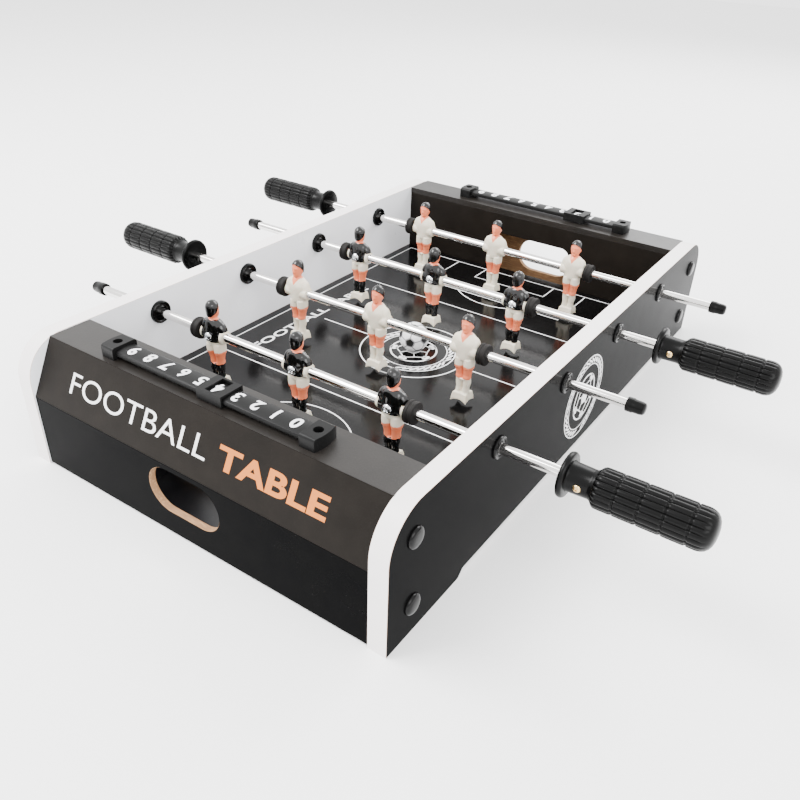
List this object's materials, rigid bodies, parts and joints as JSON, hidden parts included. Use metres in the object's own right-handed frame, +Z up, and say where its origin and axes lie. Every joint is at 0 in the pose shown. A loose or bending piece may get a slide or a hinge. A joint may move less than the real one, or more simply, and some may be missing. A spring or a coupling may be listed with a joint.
{
  "type": "foosball table",
  "caption": "Tabletop football game: boxed pitch, steel rods with players that slide and spin, handles, goals and sliding score counters.",
  "frame": {"origin": "on the floor, under the middle of the pitch and of the handles' reach", "axes": "+X across the table along the rods, +Y along the pitch towards the far goal, +Z up"},
  "size_m": [0.5785, 0.51, 0.105],
  "materials": {
    "side_laminate": "glossy black laminate outside, white laminate inside and on the edges",
    "pitch_print": "glossy dark printed pitch with white lines",
    "raw_board": "raw fibreboard",
    "charcoal_laminate": "semi-gloss charcoal laminate",
    "black_laminate": "gloss black laminate",
    "tray_plastic": "matt black",
    "score_plastic": "satin black moulded plastic, white digits",
    "black_plastic": "black moulded plastic",
    "zinc_screw": "zinc-plated steel",
    "rod_steel": "chrome-plated steel",
    "handle_plastic": "black moulded plastic with fine ribs",
    "bumper_rubber": "black rubber",
    "dark_team": "off-white plastic, painted black shirt, flesh face",
    "light_team": "off-white plastic, painted hair and flesh face",
    "ball_plastic": "white ball with black patches"
  },
  "bodies": {
    "table": {"side_board_left": "side_laminate", "side_board_right": "side_laminate", "pitch_board": "pitch_print", "pitch_battens": "raw_board", "near_goal_wall": "charcoal_laminate", "near_top_board": "charcoal_laminate", "near_slope_board": "charcoal_laminate", "near_front_board": "black_laminate", "near_ball_tray": "tray_plastic", "near_corner_blocks": "raw_board", "near_score_bar": "score_plastic", "far_goal_wall": "charcoal_laminate", "far_top_board": "charcoal_laminate", "far_slope_board": "charcoal_laminate", "far_front_board": "black_laminate", "far_ball_tray": "tray_plastic", "far_corner_blocks": "raw_board", "far_score_bar": "score_plastic", "side_screws": "zinc_screw", "screw_caps": "black_plastic", "rod_bushings": "black_plastic", "bushing_collars": "black_plastic", "score_end_blocks": "score_plastic", "score_screws": "zinc_screw"},
    "rod_1_slide": {"bumpers_1": "bumper_rubber"},
    "rod_1_spin": {"rod_1": "rod_steel", "handle_1": "handle_plastic", "rod_cap_1": "black_plastic", "rod_screws_1": "zinc_screw", "player_1_left": "dark_team", "player_1_middle": "dark_team", "player_1_right": "dark_team"},
    "rod_2_slide": {"bumpers_2": "bumper_rubber"},
    "rod_2_spin": {"rod_2": "rod_steel", "handle_2": "handle_plastic", "rod_cap_2": "black_plastic", "rod_screws_2": "zinc_screw", "player_2_left": "light_team", "player_2_middle": "light_team", "player_2_right": "light_team"},
    "rod_3_slide": {"bumpers_3": "bumper_rubber"},
    "rod_3_spin": {"rod_3": "rod_steel", "handle_3": "handle_plastic", "rod_cap_3": "black_plastic", "rod_screws_3": "zinc_screw", "player_3_left": "dark_team", "player_3_middle": "dark_team", "player_3_right": "dark_team"},
    "rod_4_slide": {"bumpers_4": "bumper_rubber"},
    "rod_4_spin": {"rod_4": "rod_steel", "handle_4": "handle_plastic", "rod_cap_4": "black_plastic", "rod_screws_4": "zinc_screw", "player_4_left": "light_team", "player_4_middle": "light_team", "player_4_right": "light_team"},
    "near_score": {"near_score_slider": "score_plastic"},
    "far_score": {"far_score_slider": "score_plastic"},
    "ball": {"ball": "ball_plastic"}
  },
  "joints": [
    {"name": "rod_1_push", "type": "slide", "parent": "table", "child": "rod_1_slide", "axis": [1, 0, 0], "range_m": [-0.037, 0.042]},
    {"name": "rod_1_turn", "type": "hinge", "parent": "rod_1_slide", "child": "rod_1_spin", "pos_m": [0, -0.142, 0.078], "axis": [1, 0, 0], "continuous": true},
    {"name": "rod_2_push", "type": "slide", "parent": "table", "child": "rod_2_slide", "axis": [1, 0, 0], "range_m": [-0.035, 0.044]},
    {"name": "rod_2_turn", "type": "hinge", "parent": "rod_2_slide", "child": "rod_2_spin", "pos_m": [0, -0.047, 0.078], "axis": [1, 0, 0], "continuous": true},
    {"name": "rod_3_push", "type": "slide", "parent": "table", "child": "rod_3_slide", "axis": [1, 0, 0], "range_m": [-0.0265, 0.0525]},
    {"name": "rod_3_turn", "type": "hinge", "parent": "rod_3_slide", "child": "rod_3_spin", "pos_m": [0, 0.047, 0.078], "axis": [1, 0, 0], "continuous": true},
    {"name": "rod_4_push", "type": "slide", "parent": "table", "child": "rod_4_slide", "axis": [1, 0, 0], "range_m": [-0.0345, 0.0445]},
    {"name": "rod_4_turn", "type": "hinge", "parent": "rod_4_slide", "child": "rod_4_spin", "pos_m": [0, 0.142, 0.078], "axis": [1, 0, 0], "continuous": true},
    {"name": "near_score_slide", "type": "slide", "parent": "table", "child": "near_score", "axis": [1, 0, 0], "range_m": [-0.0747, 0.0595]},
    {"name": "far_score_slide", "type": "slide", "parent": "table", "child": "far_score", "axis": [1, 0, 0], "range_m": [-0.1051, 0.0291]},
    {"name": "ball_roll", "type": "slide", "parent": "table", "child": "ball", "axis": [1, 0, 0], "range_m": [-0.128, 0.128]}
  ]
}
